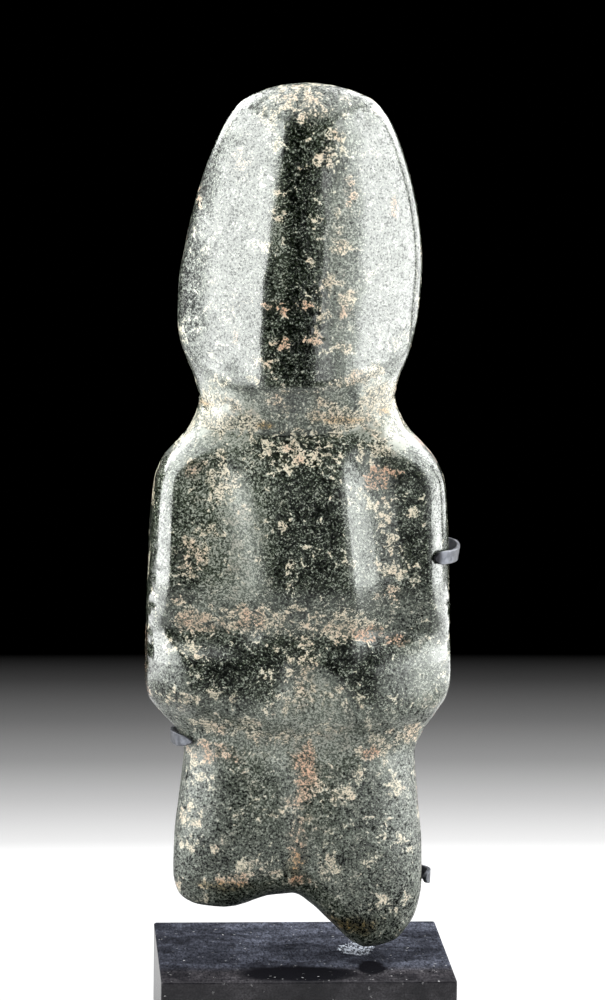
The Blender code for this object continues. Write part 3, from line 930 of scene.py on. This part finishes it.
# The stone's speckled tones, from its blackest grains to the palest earth in its pores.
TONES = (
    (0.00, (0.0003, 0.0005, 0.0002, 1)),
    (0.30, (0.0035, 0.0055, 0.0025, 1)),
    (0.50, (0.022, 0.028, 0.017, 1)),
    (0.66, (0.070, 0.083, 0.066, 1)),
    (0.82, (0.200, 0.210, 0.178, 1)),
    (1.00, (0.420, 0.410, 0.350, 1)),
)
CLEAR = (1.0, 1.0, 1.0, 1)
GREEN_GLINT = (0.95, 1.0, 0.95, 1)
EARTH_TINT = (1.0, 0.92, 0.82, 1)
IRON_RED = (0.95, 0.62, 0.52, 1)
BROWN_STAIN = (0.90, 0.58, 0.22, 1)

# Sizes of the stone's grain in millimetres, from its crystals to its clouds, and the depth of its
# finest texture.
CRYSTALS = 0.42
FINE_SPECKS = 0.65
CLOTS = 2.7
RUSTY_PATCHES = 5.0
CLOUDS = 10.0
STONE_TEXTURE = 0.035


def polished_greenstone():
    constants = {"IOR": 1.72, "Specular Tint": GREEN_GLINT, "Coat Roughness": 0.06,
                 "Coat IOR": 1.65}
    stone = Finish("polished_greenstone", constants)
    earth = stone.attribute("earth")
    red = stone.attribute("red")
    ochre = stone.attribute("ochre")
    polish = stone.attribute("polish")
    # pale haze, with painted sheen in places
    haze = stone.attribute("haze")

    fine = stone.noise(FINE_SPECKS, 1.5, 0.6, distortion=0.8)
    cells = stone.grains(CRYSTALS, stone.shaken(0.7, 0.5)).part(0)
    clots = stone.noise(CLOTS, 2.0, 0.6, distortion=0.8)
    clouds = stone.noise(CLOUDS, 2.0, 0.5)
    # The speckle, and the share of the stone that pale earth covers in crisp clots.
    grain = (fine - 0.5) * 2.3 + (cells - 0.5) * 0.7 + (clots - 0.5) * (1.0 - 0.6 * haze)
    cover = (clots + earth * 0.36 + haze * 0.04 + (clouds - 0.5) * 0.25 - 0.68).step(-0.06, 0.10)
    # Where haze and painted sheen or polish lie on it, the bare ground is paler and its speckle
    # softer.
    contrast = 1.17 - 0.24 * haze - 0.2 * polish
    ground = (0.49 + haze * 0.25 + (clouds - 0.5) * 0.5 + grain * contrast).clamp()
    ground = ground * (0.76 + 0.05 * haze.clamp())
    tone = cover.mix(ground, 0.76 - 0.12 * red + grain * 0.8).clamp()
    colour = tone.ramp(TONES).times(cover.mix(CLEAR, EARTH_TINT))

    # Iron and ochre stain the pale grains most.
    pale = tone.step(0.5, 0.85)
    rusty = stone.noise(RUSTY_PATCHES, 2.0, 0.6).step(0.5, 0.75) * 0.2
    reddened = ((red + rusty) * (0.6 + clots) * (0.3 + pale)).clamp()
    colour = colour.times(reddened.mix(CLEAR, IRON_RED))
    colour = colour.times((ochre * (0.5 + clots)).clamp().mix(CLEAR, BROWN_STAIN))

    # The blackest grains are open pits, which take neither polish nor light.
    pits = 1 - tone.step(0.02, 0.26)
    matt = earth * cover
    roughness = 0.08 + 0.32 * (1 - polish) + 0.40 * pale * matt + 0.05 * clouds
    shine = (1.1 * polish - 0.6) * (1 - 0.7 * matt) * (1.08 - 0.75 * pits)
    stone.dull(pits * (1.0 - 0.65 * polish), TONES[0][1])
    return stone.surface(colour, roughness.clamp(), tone, STONE_TEXTURE, shine.clamp())


# The block: its colours, and where its top has a painted shadow of the figure and a painted
# reflection of its foot, where its left end is darker, and where a glint is painted by the foot,
# each as a patch's middle across and back and its half-sizes.
LACQUER = (0.004, 0.004, 0.005, 1)
# dust with a painted bluish reflection, for the top's rear
DUST_WITH_PAINTED_REFLECTION = (0.070, 0.076, 0.098, 1)
GREY_DUST = (0.058, 0.055, 0.060, 1)
# the colour of a glint painted on the top by the foot
PAINTED_GLINT = (0.40, 0.43, 0.48, 1)
PAINTED_SHADOW_OF_FIGURE = (-3.0, -29.0, 18.0, 9.5)
DARKER_AT_LEFT = (-38.0, 0.0, 18.0, 45.0)
PAINTED_REFLECTION_OF_FOOT = (20.0, -21.5, 4.5, 9.0)
PAINTED_GLINT_BY_FOOT = (17.0, 2.0, 6.0, 9.0)
PALE_MOTE = (0.35, 0.35, 0.35, 1)

# The top is told from the sides by its height, and the greyer dust lies on its front strip; behind
# it the dust has a painted bluish reflection.
BLOCK_EDGE = (24.6, 25.3)
FRONT_STRIP = (-27.0, -19.0)

# Sizes of the dust's pattern and depth of its texture in millimetres.
WIPED_AREAS = 14.0
DUST_STREAKS = 2.0
DUST_GRAIN = 0.6
BLOCK_TEXTURE = 0.08

# Single motes: their size, how irregular they are, and above which of a cell's numbers it has one.
MOTE_SIZE = 0.6
MOTE_SHAKE = (0.5, 0.5)
MOTES_ABOVE = 0.989


def satin_black():
    constants = {"IOR": 1.30, "Specular IOR Level": 0.0, "Coat Roughness": 0.08}
    lacquer = Finish("satin_black", constants)
    across = lacquer.stretched(0.6, 1.3, 1.0)
    wiped = lacquer.noise(WIPED_AREAS, 4.0, 0.6, across, distortion=0.8)
    flat = lacquer.stretched(0.5, 0.5, 1.0)
    streaks = lacquer.noise(DUST_STREAKS, 3.0, 0.7, flat, distortion=0.8)
    fine = lacquer.noise(DUST_GRAIN, 2.0, 0.7, lacquer.stretched(1.0, 0.3, 1.0))
    motes = lacquer.grains(MOTE_SIZE, lacquer.shaken(*MOTE_SHAKE))
    top = lacquer.place.part(2).step(*BLOCK_EDGE)
    behind = lacquer.place.part(1).step(*FRONT_STRIP) * top
    # The top is painted dark, with no dust and more gloss, where the figure's shadow and its foot's
    # reflection fall.
    painted_dark_patches = lacquer.patch(PAINTED_SHADOW_OF_FIGURE) + lacquer.patch(PAINTED_REFLECTION_OF_FOOT)
    # The left end is darker, with less dust and more gloss.
    painted_dark_patches = (painted_dark_patches + 0.4 * lacquer.patch(DARKER_AT_LEFT)).clamp()
    # A glint is painted pale by the foot's tip, broken up by the dust's streaks.
    painted_glint = (lacquer.patch(PAINTED_GLINT_BY_FOOT) + streaks + 1.5 * fine - 2.05).step(0.0, 0.5) * top
    # Dust lies in cloths' streaks and fine grains, thicker on top than on the sides.
    dust = (0.25 + 0.75 * wiped.step(0.3, 0.7)) * (2.6 * streaks - 0.5) * (4.0 * fine - 1.0)
    dust = (dust * (0.43 + 0.22 * top) * (1 - painted_dark_patches)).clamp()
    speck = (motes.part(0) - MOTES_ABOVE).step(0.0, 0.006) * motes.part(1) * fine.step(0.4, 0.6)
    # Behind the front strip, the dust carries a painted bluish reflection.
    colour = dust.mix(LACQUER, behind.mix(GREY_DUST, DUST_WITH_PAINTED_REFLECTION))
    colour = speck.mix(painted_glint.mix(colour, PAINTED_GLINT), PALE_MOTE)
    roughness = (0.25 + 0.3 * dust + 0.3 * speck) * (1 - 0.65 * painted_dark_patches)
    return lacquer.surface(colour, roughness, fine + speck, BLOCK_TEXTURE, 0.45 - 0.40 * top)


# The steel: its grain, its colours, and where the end of the torso hook is black. That is short of
# two places, across and back, and above a height, each with the stretch over which it fades.
STEEL_GRAIN = 0.4
PATINA = 2.5
STEEL_TEXTURE = 0.03
BROWNED_STEEL = (0.035, 0.038, 0.044, 1)
RUBBED_STEEL = (0.10, 0.105, 0.118, 1)
BLACK_TIP = (0.006, 0.006, 0.007, 1)
TIP_ACROSS = (38.6, 40.2)
TIP_BACK = (-15.0, -10.0)
TIP_HEIGHT = (140.0, 145.0)


def dark_steel():
    steel = Finish("dark_steel", {"Metallic": 0.9})
    fine = steel.noise(STEEL_GRAIN, 3.0, 0.6)
    patina = steel.noise(PATINA, 3.0, 0.6)
    x, y, z = (steel.place.part(axis) for axis in range(3))
    blackened = (1 - x.step(*TIP_ACROSS)) * (1 - y.step(*TIP_BACK)) * z.step(*TIP_HEIGHT)
    colour = patina.step(0.3, 0.7).mix(BROWNED_STEEL, RUBBED_STEEL)
    colour = blackened.mix(colour, BLACK_TIP)
    return steel.surface(colour, 0.32 + 0.25 * patina, fine + patina, STEEL_TEXTURE)


# ---- The studio: floor, lights and camera. ----


# The floor's light is painted on it: palest near the object and dark from this distance, in
# millimetres, in front and behind. It stays painted pale further out to the sides.
FLOOR_BRIGHT = 237.0
FLOOR_DARK = 655.0
FLOOR_SIDEWAYS = 0.3
FLOOR_ASIDE = (250.0, 420.0)
PALE_PAPER = (0.9, 0.9, 0.9, 1)
PAINTED_FLOOR_FALLOFF = (
    (0.00, (0.0, 0.0, 0.0, 1)),
    (0.15, (0.011, 0.011, 0.011, 1)),
    (0.37, (0.036, 0.036, 0.036, 1)),
    (0.57, (0.070, 0.070, 0.070, 1)),
    (0.75, (0.128, 0.128, 0.128, 1)),
    (0.92, (0.198, 0.198, 0.198, 1)),
    (1.00, (0.28, 0.28, 0.28, 1)),
)
FLOOR_RADIUS_METRES = 12.0
FLOOR_SIDES = 96


def floor_with_painted_light():
    """A floor with a painted pool of light: bright round the object, painted darker away from it.
    """
    grid = bmesh.new()
    bmesh.ops.create_circle(grid, cap_ends=True, segments=FLOOR_SIDES, radius=FLOOR_RADIUS_METRES)
    mesh = bpy.data.meshes.new("studio_floor")
    grid.to_mesh(mesh)
    grid.free()
    floor = bpy.data.objects.new("studio_floor", mesh)
    bpy.context.scene.collection.objects.link(floor)
    paper = Finish("floor_paper", {"Roughness": 1.0, "Specular IOR Level": 0.0})
    place = paper.stretched(FLOOR_SIDEWAYS, 1.0, 1.0)
    distance = paper.node("ShaderNodeVectorMath", {"operation": "LENGTH"}, {0: place}, "Value")
    near = (FLOOR_DARK - distance) * (1 / (FLOOR_DARK - FLOOR_BRIGHT))
    across = paper.stretched(1.0, 0.0, 0.0)
    aside = paper.node("ShaderNodeVectorMath", {"operation": "LENGTH"}, {0: across}, "Value")
    aside = aside.step(*FLOOR_ASIDE) * near.step(0.0, 0.4)
    # The painted light: pale near the object and to the sides, dark further out.
    colour = aside.mix(near.clamp().ramp(PAINTED_FLOOR_FALLOFF), PALE_PAPER)
    paper.feed(paper.shader.inputs["Base Color"], colour)
    mesh.materials.append(paper.material)


# The softboxes: name, place, width and height in metres, power in watts, and the point they face.
FIGURE_MIDDLE = (0.0, 0.0, 0.16)
OVERHEAD = (0.0, 0.0, 0.58)
SOFTBOXES = (
    ("left_softbox", (-0.80, -0.26, 0.58), (0.95, 1.15), 26, OVERHEAD),
    ("right_softbox", (0.80, -0.26, 0.58), (0.95, 1.15), 26.5, OVERHEAD),
    ("right_far", (0.66, 0.42, 0.42), (0.40, 0.75), 4.0, FIGURE_MIDDLE),
    ("front_fill", (0.43, -0.96, 0.30), (0.36, 0.60), 1.8, FIGURE_MIDDLE),
    ("top_softbox", (0.0, 0.0, 1.15), (1.3, 0.7), 14, FIGURE_MIDDLE),
    ("left_rim", (-0.52, 0.50, 0.78), (0.80, 0.70), 16, FIGURE_MIDDLE),
    ("right_rim", (0.50, 0.54, 0.72), (0.70, 0.60), 13, FIGURE_MIDDLE),
)
DARK_STUDIO = (0.004, 0.004, 0.004, 1)

# The camera: how far it is turned right, tipped down and rolled, in degrees, its place in metres,
# and its lens and sensor in millimetres.
CAMERA_TURNS = (3.58, 8.28, 0.58)
CAMERA_PLACE = (-0.0874, -1.3777, 0.3409 + BLOCK_TOP)
CAMERA_LENS = 165.6
CAMERA_SENSOR = 36.0


def softbox(name, place, size, power, target):
    light = bpy.data.lights.new(name, "AREA")
    light.shape = "RECTANGLE"
    light.size, light.size_y = size
    light.energy = power
    lamp = bpy.data.objects.new(name, light)
    lamp.location = place
    lamp.rotation_euler = (Vector(target) - Vector(place)).to_track_quat("-Z", "Y").to_euler()
    bpy.context.scene.collection.objects.link(lamp)


def studio_lights():
    for box in SOFTBOXES:
        softbox(*box)
    world = bpy.data.worlds.new("dark_studio")
    world.use_nodes = True
    world.node_tree.nodes["Background"].inputs["Color"].default_value = DARK_STUDIO
    bpy.context.scene.world = world
    bpy.context.scene.view_settings.view_transform = "Standard"


def studio_camera():
    """A long lens from a little to the left and above, looking down at the figure."""
    yaw, pitch, roll = (math.radians(turn) for turn in CAMERA_TURNS)
    ahead = Vector((math.sin(yaw) * math.cos(pitch), math.cos(yaw) * math.cos(pitch),
                    -math.sin(pitch)))
    level = Vector((math.cos(yaw), -math.sin(yaw), 0))
    upright = level.cross(ahead)
    right = level * math.cos(roll) + upright * math.sin(roll)
    up = upright * math.cos(roll) - level * math.sin(roll)
    camera = bpy.data.cameras.new("studio_camera")
    camera.sensor_fit = "VERTICAL"
    camera.sensor_height = CAMERA_SENSOR
    camera.lens = CAMERA_LENS
    stand = bpy.data.objects.new("studio_camera", camera)
    turn = Matrix((right, up, -ahead)).transposed().to_4x4()
    stand.matrix_world = Matrix.Translation(CAMERA_PLACE) @ turn
    bpy.context.scene.collection.objects.link(stand)
    bpy.context.scene.camera = stand


# ---- The piece that replaces a solid, and the finishes of the others. ----


carving = greenstone_carving()
carving.data.materials.append(polished_greenstone())
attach(carving, "root")
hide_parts("stone_figure")

black = satin_black()
steel = dark_steel()
finishes = {
    "base_block": black,
    "support_post": steel,
    "torso_hook": steel,
    "waist_hook": steel,
    "foot_hook": steel,
}
for node, material in finishes.items():
    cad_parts[node].material_slots[0].material = material

floor_with_painted_light()
studio_lights()
studio_camera()
